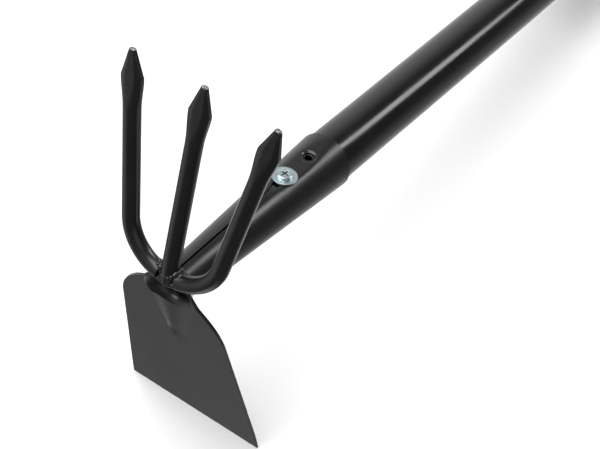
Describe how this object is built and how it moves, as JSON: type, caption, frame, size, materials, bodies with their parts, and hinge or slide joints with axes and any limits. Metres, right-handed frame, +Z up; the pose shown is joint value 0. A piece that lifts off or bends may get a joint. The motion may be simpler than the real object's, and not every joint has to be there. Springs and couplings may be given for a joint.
{
  "type": "hand cultivator",
  "caption": "Hand cultivator with a hoe blade on one side of its head and a tined claw on the other, on a tube handle with a grip and a hanging hole.",
  "frame": {"origin": "middle of the tool's footprint, on the ground that the blade's edge and the grip rest on", "axes": "+X along the handle from the head to the grip, +Z up, with the tines up and the blade down"},
  "size_m": [0.4538, 0.0752, 0.2032],
  "materials": {
    "blade_paint": "satin black paint on sheet steel",
    "rod_paint": "semi-gloss black paint on steel rod",
    "tube_paint": "gloss black paint on steel tube",
    "zinc_plate": "bluish bright zinc plate",
    "grip_rubber": "matte black moulded rubber",
    "cap_plastic": "matte black moulding"
  },
  "bodies": {
    "tool": {"hoe_head": "blade_paint", "centre_tine": "rod_paint", "left_tine": "rod_paint", "right_tine": "rod_paint", "weld_beads": "rod_paint", "handle_tube": "tube_paint", "grip_sleeve": "grip_rubber", "end_cap": "cap_plastic"},
    "washer": {"screw_washer": "zinc_plate"},
    "screw": {"fixing_screw": "zinc_plate"}
  },
  "joints": [
    {"name": "screw_lift", "type": "slide", "parent": "tool", "child": "washer", "axis": [0.1879, 0, 0.9822], "range_m": [0, 0.014]},
    {"name": "screw_turn", "type": "hinge", "parent": "washer", "child": "screw", "pos_m": [-0.1441, 0, 0.09957], "axis": [0.1879, 0, 0.9822], "continuous": true}
  ]
}
